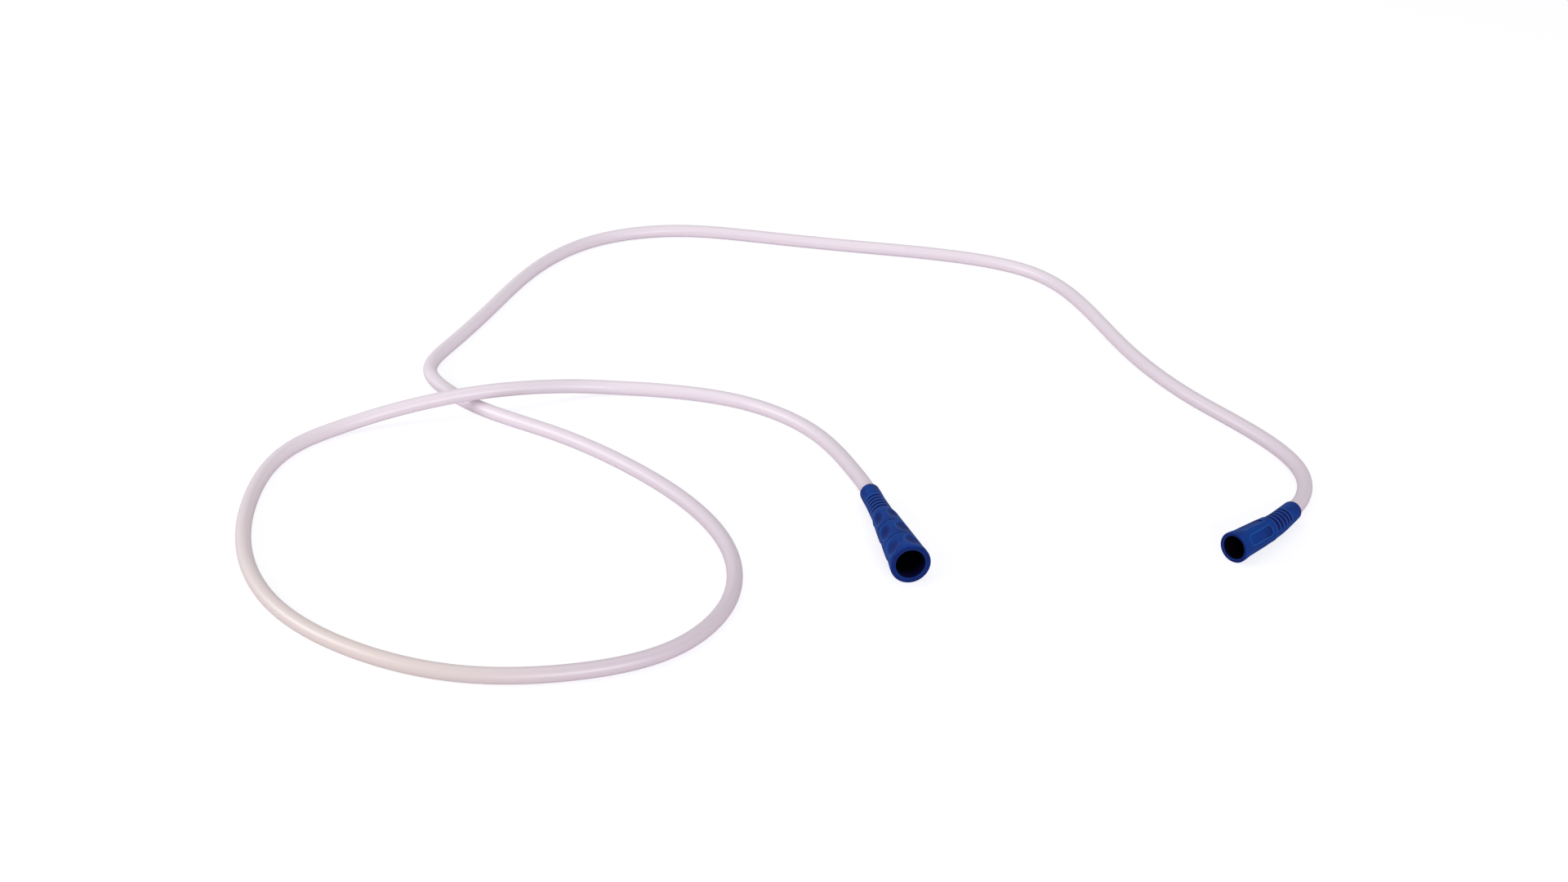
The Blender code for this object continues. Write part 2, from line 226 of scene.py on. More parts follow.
def new_material(name: str) -> tuple[bpy.types.Material, Shader]:
    """Make a material with an empty node tree.

    Args:
        name: The material's name.

    Returns:
        The material and its shader.
    """
    material = bpy.data.materials.new(name)
    material.use_nodes = True
    return material, Shader(material.node_tree)


@dataclass(frozen=True)
class BlueVinyl:
    """Soft royal blue vinyl from a satin mould, with painted shade in its recesses and bore and painted
    highlights on its ridges.
    """

    skin: Colour = (0.006, 0.046, 0.262)
    cloudy: Colour = (0.005, 0.029, 0.182)
    # Painted highlight colour for ribs, dimple edges, lips, raised rims and band tops.
    painted_highlight: Colour = (0.010, 0.105, 0.410)
    # Painted shade colour for grooves, dimples, ring lines, panels, band edges, the mouth's ring and the
    # bore.
    shade_colour: Colour = (0.010, 0.008, 0.075)
    # Painted shade colour far inside the bore.
    dark: Colour = (0.0004, 0.0005, 0.003)
    roughness: float = 0.46
    grain_gloss: float = 0.10
    cloud_gloss: float = 0.05
    bore_gloss: float = 0.3
    specular: float = 0.03
    cloud_scale: float = 150.0
    cloud_range: tuple[float, float] = (0.35, 0.7)
    highlight_share: tuple[float, float] = (0.6, 0.5)
    grain_scale: float = 2600.0
    grain_bump: float = 0.05
    grain_height: float = 0.1 * MM

    def make(self) -> bpy.types.Material:
        """Build the material.

        Returns:
            The material.
        """
        material, shader = new_material("soft_blue_vinyl")
        where = shader.attribute(Layer.STRAIGHT).outputs["Vector"]
        hollow, painted_highlight, inside = (shader.layer(layer) for layer in (Layer.HOLLOW, Layer.RIDGE, Layer.INSIDE))
        cloud = shader.noise(where, (1, 1, 0.6), self.cloud_scale, 3.0)
        grain = shader.noise(where, (1, 1, 1), self.grain_scale, 2.0)
        plain = shader.mixed(cloud.eased(*self.cloud_range), self.skin, self.cloudy)
        least, added = self.highlight_share
        # Painted highlights on ribs, edges and lips, made patchy by the cloud.
        highlit = shader.mixed(painted_highlight * (least + cloud * added), plain, self.painted_highlight)
        # Painted shade in the recesses, along the band edges and on the mouth's ring.
        shaded = shader.mixed(hollow, highlit, self.shade_colour)
        # Painted shade inside the bore, growing with depth below the mouth.
        colour = shader.mixed(inside, shaded, self.dark)
        roughness = self.roughness + (grain - 0.5) * self.grain_gloss + cloud * self.cloud_gloss
        roughness = roughness + inside * self.bore_gloss
        relief = {"Strength": self.grain_bump, "Distance": self.grain_height, "Height": grain}
        bump = shader.node("ShaderNodeBump", {}, relief)
        skin = shader.node(
            "ShaderNodeBsdfPrincipled",
            {},
            {
                "Base Color": colour,
                "Roughness": roughness,
                "Normal": bump.outputs[0],
                "Specular IOR Level": self.specular,
            },
        )
        shader.node("ShaderNodeOutputMaterial", {}, {"Surface": skin.outputs[0]})
        return material


@dataclass(frozen=True)
class FrostedVinyl:
    """Frosted see-through vinyl with a lilac cast, extruded, so its faint streaks run lengthwise.

    It has painted shade that grows towards the front, so it is paler at the back, and the loop's near left
    part has a warmer cast.
    """

    lilac: Colour = (0.770, 0.685, 0.755)
    # Darker tone for random drift, streaks and cloud, and for the painted shade towards the front.
    mauve: Colour = (0.580, 0.490, 0.560)
    ivory: Colour = (0.690, 0.600, 0.540)
    near_range: tuple[float, float] = (0.24, -0.10)
    left_range: tuple[float, float] = (-0.24, -0.40)
    front_shade_share: float = 0.75
    warm_share: float = 0.8
    drift_share: float = 0.5
    streak_share: float = 0.5
    cloud_share: float = 0.15
    drift_scale: float = 7.0
    streak_scale: float = 450.0
    cloud_scale: float = 160.0
    roughness: float = 0.42
    cloud_gloss: float = 0.08
    streak_gloss: float = 0.04
    specular: float = 0.80
    subsurface: float = 0.12
    depth: float = 1.0 * MM
    depth_by_colour: Colour = (1.0, 0.8, 0.95)
    streak_bump: float = 0.01
    streak_height: float = 0.1 * MM

    def make(self) -> bpy.types.Material:
        """Build the material.

        Returns:
            The material.
        """
        material, shader = new_material("frosted_vinyl")
        where = shader.attribute(Layer.STRAIGHT).outputs["Vector"]
        streaks = shader.noise(where, (1, 1, 0.01), self.streak_scale, 1.0)
        cloud = shader.noise(where, (1, 1, 0.12), self.cloud_scale, 3.0)
        drift = shader.noise(where, (1, 1, 1), self.drift_scale, 1.0)
        coordinates = shader.node("ShaderNodeTexCoord")
        place = shader.node("ShaderNodeSeparateXYZ", {}, {0: coordinates.outputs["Object"]})
        near = Number(shader, place.outputs["Y"]).eased(*self.near_range)
        left = Number(shader, place.outputs["X"]).eased(*self.left_range)
        # Painted shade growing towards the front, plus random drift, streaks and cloud.
        shade = near * self.front_shade_share + (drift - 0.5) * self.drift_share
        shade = shade + (streaks - 0.5) * self.streak_share + cloud * self.cloud_share
        plain = shader.mixed(shade, self.lilac, self.mauve)
        colour = shader.mixed(near * left * self.warm_share, plain, self.ivory)
        roughness = self.roughness + (cloud - 0.5) * self.cloud_gloss + (streaks - 0.5) * self.streak_gloss
        relief = {"Strength": self.streak_bump, "Distance": self.streak_height, "Height": streaks}
        bump = shader.node("ShaderNodeBump", {}, relief)
        skin = shader.node(
            "ShaderNodeBsdfPrincipled",
            {"subsurface_method": "RANDOM_WALK"},
            {
                "Base Color": colour,
                "Roughness": roughness,
                "Normal": bump.outputs[0],
                "Subsurface Weight": self.subsurface,
                "Subsurface Radius": self.depth_by_colour,
                "Subsurface Scale": self.depth,
                "Specular IOR Level": self.specular,
            },
        )
        shader.node("ShaderNodeOutputMaterial", {}, {"Surface": skin.outputs[0]})
        return material


@dataclass(frozen=True)
class StudioWhite:
    """A white floor that keeps a faint, slightly blue shadow and is plain white to the camera elsewhere."""

    sheet: Colour = (0.34, 0.34, 0.28)
    glow: Colour = (0.76, 0.76, 0.82)
    bounce: Colour = (0.76, 0.71, 0.75)

    def make(self) -> bpy.types.Material:
        """Build the material.

        Returns:
            The material.
        """
        material, shader = new_material("studio_white")
        seen = Number(shader, shader.node("ShaderNodeLightPath").outputs[Ray.CAMERA.value])
        sheet = shader.node("ShaderNodeBsdfDiffuse", {}, {"Color": (*self.sheet, 1.0)})
        glow = shader.node("ShaderNodeEmission", {}, {"Color": (*self.glow, 1.0), "Strength": 1.0})
        both = shader.node("ShaderNodeAddShader", {}, {0: sheet.outputs[0], 1: glow.outputs[0]})
        bounce = shader.node("ShaderNodeBsdfDiffuse", {}, {"Color": (*self.bounce, 1.0)})
        picked = shader.node("ShaderNodeMixShader", {}, {0: seen, 1: bounce.outputs[0], 2: both.outputs[0]})
        shader.node("ShaderNodeOutputMaterial", {}, {"Surface": picked.outputs[0]})
        return material


class Mark(NamedTuple):
    """What a relief does at each corner: its depth, its painted shade and its painted highlight."""

    depth: np.ndarray
    hollow: np.ndarray
    painted_highlight: np.ndarray


class Relief:
    """Something that the mould cuts into a connector's skin."""

    def mark(self, angle: np.ndarray, height: np.ndarray, radius: np.ndarray) -> Mark:
        """Mark the skin.

        Args:
            angle: Angles round the axis.
            height: Heights from the collar's end.
            radius: The plain skin's radii there.

        Returns:
            The marks.
        """
        raise NotImplementedError


def bell(away: np.ndarray, reach: float) -> np.ndarray:
    """A soft peak, 1 at no distance and near 0 at twice its reach."""
    return np.exp(-((away / reach) ** 2))


@dataclass(frozen=True)
class Grooves(Relief):
    """Rings of round grooves, deepest on two opposite faces, that die out at the mould's parting line."""

    first: float
    pitch: float
    count: int
    width: float
    depth: float
    fade: float
    facing: float
    rib_reach: float = 0.16
    rib_highlight: float = 0.8

    def mark(self, angle: np.ndarray, height: np.ndarray, radius: np.ndarray) -> Mark:
        """Mark the grooves, with painted shade in them and painted highlights on the ribs between them.

        Args:
            angle: Angles round the axis.
            height: Heights from the collar's end.
            radius: The plain skin's radii there; not used.

        Returns:
            The marks.
        """
        row = np.clip(np.round((height - self.first) / self.pitch), 0, self.count - 1)
        away = np.abs(height - self.first - row * self.pitch)
        section = np.clip(1.0 - (away / (self.width / 2)) ** 3, 0.0, None)
        left = np.clip(1.0 - self.fade * np.sin(angle - self.facing) ** 2, 0.0, None)
        shown = np.clip(left * 3.5, 0.0, 1.0)
        # Painted shade in each groove, a little wider than the cut.
        shadow = np.clip(1.6 - (away / (self.width / 2)) ** 2, 0.0, 1.0)
        # Painted highlight along each rib.
        ribs = bell(away - self.pitch / 2, self.pitch * self.rib_reach)
        return Mark(self.depth * section * left, shadow * shown, ribs * shown * self.rib_highlight)


@dataclass(frozen=True)
class Dimples(Relief):
    """Columns of shallow oval finger dimples."""

    columns: int
    rows: int
    first: float
    pitch: float
    length: float
    width_angle: float
    depth: float
    facing: float
    dip_shade: float = 0.55
    edge_place: float = 0.98
    edge_reach: float = 0.13
    edge_highlight: float = 0.7

    def mark(self, angle: np.ndarray, height: np.ndarray, radius: np.ndarray) -> Mark:
        """Mark the dimples, with painted shade in each dip and a painted highlight round its edge,
        strongest on one side.

        Args:
            angle: Angles round the axis.
            height: Heights from the collar's end.
            radius: The plain skin's radii there; not used.

        Returns:
            The marks.
        """
        row = np.clip(np.round((height - self.first) / self.pitch), 0, self.rows - 1)
        along = (height - self.first - row * self.pitch) / (self.length / 2)
        share = math.tau / self.columns
        turn = (angle - self.facing + share / 2) % share - share / 2
        across = turn / (self.width_angle / 2)
        dip = np.clip(1.0 - along**2 - across**2, 0.0, None)
        # Painted highlight round each dimple's edge, strongest on one side.
        one_sided = np.clip(0.5 - 0.6 * across, 0.15, 1.0)
        edge = bell(np.hypot(along, across) - self.edge_place, self.edge_reach) * one_sided
        # Painted shade fills the dip.
        return Mark(self.depth * dip**1.15, dip**0.6 * self.dip_shade, edge * self.edge_highlight)


@dataclass(frozen=True)
class RingLines(Relief):
    """Fine lines round the grip, between the rows of dimples."""

    heights: tuple[float, ...]
    half_width: float
    depth: float
    cut_shade: float = 0.9
    lip_highlight: float = 0.5

    def mark(self, angle: np.ndarray, height: np.ndarray, radius: np.ndarray) -> Mark:
        """Mark the lines, with painted shade in each and a painted highlight on the mouth's side of each.

        Args:
            angle: Angles round the axis; not used.
            height: Heights from the collar's end.
            radius: The plain skin's radii there; not used.

        Returns:
            The marks.
        """
        away = np.min([np.abs(height - line) for line in self.heights], axis=0)
        beyond = np.min([np.abs(height - line - 2.2 * self.half_width) for line in self.heights], axis=0)
        # Painted shade in each line and a painted highlight just beside it, towards the mouth.
        cut = np.clip(1.0 - away / self.half_width, 0.0, None)
        lips = bell(beyond, self.half_width) * self.lip_highlight
        return Mark(self.depth * cut, np.sqrt(cut) * self.cut_shade, lips)


@dataclass(frozen=True)
class Panels(Relief):
    """Recessed panels with flat floors, round corners and a low raised edge, two on each of two faces."""

    middle: float
    length: float
    width: float
    depth: float
    corner: float
    wall: float
    facing: float
    spread: float
    edge: float
    floor_shade: float = 0.15
    rim_highlight: float = 0.8

    def mark(self, angle: np.ndarray, height: np.ndarray, radius: np.ndarray) -> Mark:
        """Mark the panels: painted shade on floors and inner walls, more at the collar's end; a painted
        highlight on each rim.

        Args:
            angle: Angles round the axis.
            height: Heights from the collar's end.
            radius: The plain skin's radii there.

        Returns:
            The marks.
        """
        face = (angle - self.facing + math.pi / 2) % math.pi - math.pi / 2
        turn = np.abs(face) - self.spread
        across = np.abs(radius * np.sin(turn)) - (self.width / 2 - self.corner)
        along = np.abs(height - self.middle) - (self.length / 2 - self.corner)
        outside = np.hypot(np.clip(across, 0, None), np.clip(along, 0, None)) - self.corner
        away = outside + np.clip(np.maximum(across, along), None, 0.0)
        share_in = np.clip(-away / self.wall, 0.0, 1.0)
        soft = share_in * share_in * (3.0 - 2.0 * share_in)
        floor = (radius - self.depth) / np.cos(turn)
        # Painted highlight on the raised rim; painted shade on the inner wall, stronger towards the
        # collar's end.
        rim = bell(away - self.wall / 2, self.wall * 0.6)
        wall = bell(away + self.wall / 2, self.wall * 0.5)
        far = np.clip(0.15 + (self.middle - height) / (self.length / 2), 0.2, 1.0)
        dip = np.clip(radius - floor, 0.0, None) * soft - self.edge * rim
        return Mark(dip, np.clip(soft * self.floor_shade + wall * far, 0.0, 1.0), rim * self.rim_highlight)


@dataclass(frozen=True)
class PartingBands(Relief):
    """Low flat bands along the body where the mould's halves met."""

    start: float
    end: float
    width: float
    height: float
    facing: float
    side: float = 0.3 * MM
    run_in: float = 1.0 * MM
    line_reach: float = 0.25 * MM
    line_shade: float = 0.8
    top_highlight: float = 0.35

    def mark(self, angle: np.ndarray, height: np.ndarray, radius: np.ndarray) -> Mark:
        """Mark the bands, which stand proud, with painted shade along both sides and a painted highlight on
        top.

        Args:
            angle: Angles round the axis.
            height: Heights from the collar's end.
            radius: The plain skin's radii there.

        Returns:
            The marks.
        """
        turn = (angle - self.facing + math.pi / 2) % math.pi - math.pi / 2
        away = self.width / 2 - np.abs(turn) * radius
        across = np.clip(away / self.side, 0.0, 1.0)
        along = np.clip(np.minimum(height - self.start, self.end - height) / self.run_in, 0.0, 1.0)
        # Painted shade along the band's sides and a painted highlight on its top.
        lines = bell(away, self.line_reach) * along * self.line_shade
        return Mark(-self.height * across * along, lines, across * along * self.top_highlight)


def quarter(middle: tuple[float, float], size: tuple[float, float], start: float, steps: int) -> Outline:
    """A quarter of an oval.

    Args:
        middle: The oval's middle as (radius, height).
        size: Its half axes as (radius, height).
        start: Where it starts, in degrees.
        steps: How many pieces it has.

    Returns:
        Its points, anticlockwise.
    """
    angles = np.radians(np.linspace(start, start + 90.0, steps + 1))
    return [(middle[0] + size[0] * math.cos(a), middle[1] + size[1] * math.sin(a)) for a in angles]


def heights_between(stops: Sequence[float], gaps: Sequence[float]) -> np.ndarray:
    """Heights of a skin's rows, with their own spacing in each stretch.

    Args:
        stops: Where the stretches start and end.
        gaps: The spacing in each stretch.

    Returns:
        The heights.
    """
    rows = [np.arange(low, high - gap / 2, gap) for low, high, gap in zip(stops, stops[1:], gaps)]
    return np.concatenate([*rows, [stops[-1]]])


def turned(outline: Outline, segments: int) -> bmesh.types.BMesh:
    """Turn a closed outline about the Z axis.

    Args:
        outline: Points as (radius, height).
        segments: How many steps the turn has.

    Returns:
        The closed shape, with its faces pointing out.
    """
    shape = bmesh.new()
    corners = [shape.verts.new((radius, 0.0, height)) for radius, height in outline]
    edges = [shape.edges.new(pair) for pair in zip(corners, corners[1:] + corners[:1])]
    bmesh.ops.spin(
        shape,
        geom=corners + edges,
        cent=(0, 0, 0),
        axis=(0, 0, 1),
        angle=math.tau,
        steps=segments,
        use_merge=True,
    )
    bmesh.ops.recalc_face_normals(shape, faces=shape.faces)
    return shape


def mesh_of(name: str, shape: bmesh.types.BMesh) -> bpy.types.Mesh:
    """Make a smooth mesh.

    Args:
        name: The mesh's name.
        shape: Its form, which is freed.

    Returns:
        The mesh.
    """
    mesh = bpy.data.meshes.new(name)
    shape.to_mesh(mesh)
    shape.free()
    mesh.shade_smooth()
    return mesh


def corners_of(mesh: bpy.types.Mesh) -> np.ndarray:
    """Read a mesh's corners, one row each."""
    found = np.zeros(len(mesh.vertices) * 3, np.float32)
    mesh.vertices.foreach_get("co", found)
    return found.reshape(-1, 3).astype(float)


def move_corners(mesh: bpy.types.Mesh, places: np.ndarray) -> None:
    """Put a mesh's corners in new places."""
    mesh.vertices.foreach_set("co", places.astype(np.float32).ravel())
    mesh.update()


def keep_layer(mesh: bpy.types.Mesh, layer: Layer, values: np.ndarray) -> None:
    """Store numbers or vectors on a mesh for its finish.

    Args:
        mesh: The mesh.
        layer: The attribute.
        values: One number or one vector for each corner.
    """
    is_vector = values.ndim == 2
    made = mesh.attributes.new(layer.value, "FLOAT_VECTOR" if is_vector else "FLOAT", "POINT")
    made.data.foreach_set("vector" if is_vector else "value", values.astype(np.float32).ravel())


def dressed(
    name: str, mesh: bpy.types.Mesh, material: bpy.types.Material, node: str
) -> bpy.types.Object:
    """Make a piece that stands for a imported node.

    Args:
        name: The piece's name.
        mesh: Its mesh, in place.
        material: Its finish.
        node: The node that it replaces.

    Returns:
        The piece.
    """
    mesh.materials.append(material)
    piece = bpy.data.objects.new(name, mesh)
    bpy.context.scene.collection.objects.link(piece)
    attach(piece, "root")
    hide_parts(node)
    return piece


@dataclass
class Connector:
    """A soft moulded connector, turned about its axis and then given its relief.

    Local Z runs from the collar's end to the mouth and local X points up. Angles are measured from the top
    towards local -Y.
    """

    node: str
    mount: str
    length: float
    mouth_radius: float
    mouth_bore: float
    rim_round: float
    lip: float
    end_round: tuple[float, float]
    socket_depth: float
    segments: int
    # How far below the mouth the painted shade in the bore takes to reach full strength.
    daylight: float
    ring_shade: float

    def laid(self) -> Matrix:
        """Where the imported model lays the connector, from the mount on its mouth's flat ring.

        Returns:
            The matrix from the connector's own frame to the model's.
        """
        mount = next(item for item in frame["record"]["mounts"] if item["name"] == self.mount)
        ahead = Vector(mount["axis"]).normalized()
        up = (Vector((0, 0, 1)) - ahead * ahead.z).normalized()
        turn = Matrix((up, ahead.cross(up), ahead)).transposed().to_4x4()
        ring = (self.mouth_bore / 2 + self.lip + self.mouth_radius - self.rim_round) / 2
        mouth = Vector(mount["pos_m"]) - up * ring
        return Matrix.Translation(mouth - ahead * self.length) @ turn

    def skin_radius(self, height: np.ndarray) -> np.ndarray:
        """Radii of the plain skin at some heights."""
        raise NotImplementedError

    def rows(self) -> np.ndarray:
        """Heights of the skin's rows."""
        raise NotImplementedError

    def reliefs(self) -> list[Relief]:
        """What the mould cuts into the skin."""
        raise NotImplementedError

    def bore_radius(self, hose: "Hose", height: np.ndarray) -> np.ndarray:
        """Radii of the tapered bore at some heights."""
        ends = [self.socket_depth, self.length - self.lip]
        return np.interp(height, ends, [hose.bore / 2, self.mouth_bore / 2])

    def bent(self, places: np.ndarray) -> np.ndarray:
        """Where points of the straight connector go when the hose bends it."""
        return places

    def outline(self, hose: "Hose") -> Outline:
        """The closed section, skin first, then the mouth, the bore, the throat and the hose's socket.

        Args:
            hose: The hose that the socket holds.

        Returns:
            Points as (radius, height).
        """
        heights = self.rows()
        end_wide, end_long = self.end_round
        collar = float(self.skin_radius(np.array([end_long]))[0])
        rim = self.mouth_radius - self.rim_round
        mouth = self.mouth_bore / 2
        socket = hose.diameter / 2 + hose.seat_gap
        points = quarter((collar - end_wide, end_long), (end_wide, end_long), -90.0, 8)[:-1]
        points += list(zip(self.skin_radius(heights).tolist(), heights.tolist()))
        points += quarter((rim, self.length - self.rim_round), (self.rim_round, self.rim_round), 0.0, 8)[1:]
        points += [((rim + mouth + self.lip) / 2, self.length)]
        points += quarter((mouth + self.lip, self.length - self.lip), (self.lip, self.lip), 90.0, 6)
        bore = np.linspace(self.length - self.lip, self.socket_depth, 40)[1:]
        points += list(zip(self.bore_radius(hose, bore).tolist(), bore.tolist()))
        points += [(socket, self.socket_depth)]
        points += [(socket, height) for height in np.linspace(self.socket_depth, 0.0, 12)[1:]]
        return points

    def build(self, hose: "Hose", material: bpy.types.Material) -> bpy.types.Object:
        """Make the connector.

        Args:
            hose: The hose that it holds.
            material: Its finish.

        Returns:
            The piece.
        """
        mesh = mesh_of(self.node, turned(self.outline(hose), self.segments))
        places = corners_of(mesh)
        radius = np.hypot(places[:, 0], places[:, 1])
        height = places[:, 2]
        plain = self.skin_radius(height)
        near = 0.01 * MM
        is_skin = (np.abs(radius - plain) < near) & (height >= self.end_round[1])
        is_skin &= height < self.length
        socket = hose.diameter / 2 + hose.seat_gap
        is_bore = radius < self.mouth_bore / 2 + near
        is_bore &= radius < np.maximum(self.bore_radius(hose, height), socket) + near
        is_ring = (height > self.length - near) & ~is_bore
        is_lip = (height > self.length - self.lip) & (radius < self.mouth_bore / 2 + self.lip - near)
        angle = -np.arctan2(places[:, 1], places[:, 0])
        marks = [relief.mark(angle, height, plain) for relief in self.reliefs()]
        depth, hollow, painted_highlight = (np.where(is_skin, sum(parts), 0.0) for parts in zip(*marks))
        # Painted shade inside the bore, darker with depth below the mouth.
        inside = np.where(is_bore, 0.1 + (self.length - self.lip - height) / self.daylight, 0.0)
        # Painted shade on the mouth's flat ring and all through the bore.
        hollow = np.where(is_ring, self.ring_shade, np.where(is_bore, 1.0, hollow))
        straight = places.copy()
        straight[:, :2] *= (1.0 - depth / radius)[:, None]
        keep_layer(mesh, Layer.STRAIGHT, straight)
        keep_layer(mesh, Layer.HOLLOW, np.clip(hollow, 0.0, 1.0))
        # Painted highlight on the mouth's lip.
        keep_layer(mesh, Layer.RIDGE, np.clip(np.where(is_lip, 0.15, painted_highlight), 0.0, 1.0))
        keep_layer(mesh, Layer.INSIDE, np.clip(inside, 0.0, 1.0))
        laid = np.array(self.laid())
        move_corners(mesh, self.bent(straight) @ laid[:3, :3].T + laid[:3, 3])
        return dressed(f"soft_{self.node}", mesh, material, self.node)


@dataclass
class Funnel(Connector):
    """The large connector: a grooved collar, a dimpled grip and a flared mouth."""

    node: str = "funnel_connector"
    mount: str = "funnel_mouth_face"
    length: float = 85.3 * MM
    mouth_radius: float = 10.7 * MM
    mouth_bore: float = 15.9 * MM
    rim_round: float = 0.6 * MM
    lip: float = 0.4 * MM
    end_round: tuple[float, float] = (0.95 * MM, 1.6 * MM)
    socket_depth: float = 20.0 * MM
    segments: int = 180
    daylight: float = 7.0 * MM
    ring_shade: float = 0.6
    collar_radius: float = 5.5 * MM
    collar_length: float = 14.0 * MM
    sleeve_radius: float = 6.1 * MM
    sleeve_length: float = 28.8 * MM
    shoulder_length: float = 7.7 * MM
    grip_radius: float = 7.2 * MM
    neck_radius: float = 9.9 * MM
    rim_length: float = 11.3 * MM
    grooves: Grooves = Grooves(14.6 * MM, 3.5 * MM, 5, 1.6 * MM, 0.7 * MM, 1.5, math.radians(-22.0))
    dimples: Dimples = Dimples(
        5, 3, 40.4 * MM, 18.0 * MM, 13.0 * MM, math.radians(52.0), 1.2 * MM, math.radians(21.0)
    )
    ring_lines: RingLines = RingLines((49.4 * MM, 67.4 * MM), 0.5 * MM, 0.35 * MM)
    seam: PartingBands = PartingBands(3.0 * MM, 84.5 * MM, 0.7 * MM, 0.08 * MM, math.radians(66.0))

    def skin_radius(self, height: np.ndarray) -> np.ndarray:
        """Radii of the plain skin.

        Args:
            height: Heights from the collar's end.

        Returns:
            The radii.
        """
        shoulder = self.sleeve_length + self.shoulder_length
        rim = self.length - self.rim_length
        run = self.sleeve_length - self.collar_length
        sleeve = np.clip((height - self.collar_length) / run, 0.0, 1.0)
        rise = np.clip((height - self.sleeve_length) / self.shoulder_length, 0.0, 1.0)
        flare = np.clip((height - rim) / (self.rim_length - self.rim_round), 0.0, 1.0)
        grip = np.clip((height - shoulder) / (rim - shoulder), 0.0, 1.0)
        radius = self.collar_radius + (self.sleeve_radius - self.collar_radius) * sleeve
        radius += (self.grip_radius - self.sleeve_radius) * rise * rise * (3.0 - 2.0 * rise)
        radius += (self.neck_radius - self.grip_radius) * grip
        return radius + (self.mouth_radius - self.neck_radius) * flare * flare * (3.0 - 2.0 * flare)

    def rows(self) -> np.ndarray:
        """Heights of the skin's rows, closest at the grooves and the ring lines."""
        first, second = self.ring_lines.heights
        near = 1.0 * MM
        stops = [
            self.end_round[1],
            self.grooves.first - near,
            self.grooves.first + self.grooves.pitch * (self.grooves.count - 1) + near,
            first - near,
            first + near,
            second - near,
            second + near,
            self.length - self.rim_round,
        ]
        return heights_between(stops, [g * MM for g in (0.8, 0.16, 0.4, 0.125, 0.4, 0.125, 0.4)])

    def reliefs(self) -> list[Relief]:
        """Grooves, dimples, ring lines and the mould's seam."""
        return [self.grooves, self.dimples, self.ring_lines, self.seam]


